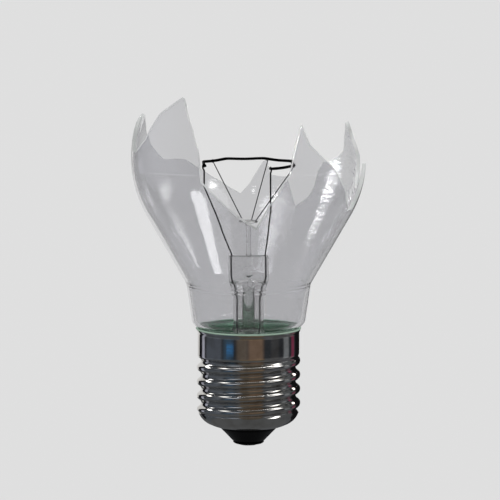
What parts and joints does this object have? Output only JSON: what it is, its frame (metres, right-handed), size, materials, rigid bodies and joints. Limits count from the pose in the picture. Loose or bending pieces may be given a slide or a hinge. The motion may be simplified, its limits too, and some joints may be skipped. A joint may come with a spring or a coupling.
{
  "type": "broken light bulb",
  "caption": "Clear pear-shaped light bulb with a screw cap, its glass smashed off above in pointed shards round a whole filament on its stem.",
  "frame": {"origin": "centre of the flat face of the cap's centre contact", "axes": "+Z along the bulb's axis from the contact towards the broken glass; -Y towards the viewer, with the two leads left and right"},
  "size_m": [0.0597, 0.0577, 0.0914],
  "materials": {
    "clear_glass": "clear blown soda-lime glass, slightly grey, broken edges left sharp",
    "dark_wire": "drawn wire, darkened by heat",
    "tungsten": "black coiled filament wire",
    "nickel_plate": "bright nickel plate on rolled brass",
    "black_glass": "opaque black glass, pressed hot",
    "darkened_brass": "blackened by arcing and handling",
    "solder": "dull dark tin solder",
    "cement": "baked capping cement, dark green, matt"
  },
  "bodies": {
    "root": {"glass_envelope": "clear_glass", "stem_flare": "clear_glass", "exhaust_tube": "clear_glass", "support_rod": "clear_glass", "support_wire_left": "dark_wire", "support_wire_back": "dark_wire", "support_wire_right": "dark_wire", "filament": "tungsten", "lead_left": "dark_wire", "lead_right": "dark_wire", "seal_wire_left": "dark_wire", "seal_wire_right": "dark_wire", "lower_lead_left": "dark_wire", "lower_lead_right": "dark_wire", "lead_fuse": "dark_wire", "contact_lead": "dark_wire", "screw_shell": "nickel_plate", "cap_insulator": "black_glass", "contact_plate": "darkened_brass", "centre_solder": "solder", "side_solder": "solder", "capping_cement": "cement"}
  },
  "joints": []
}
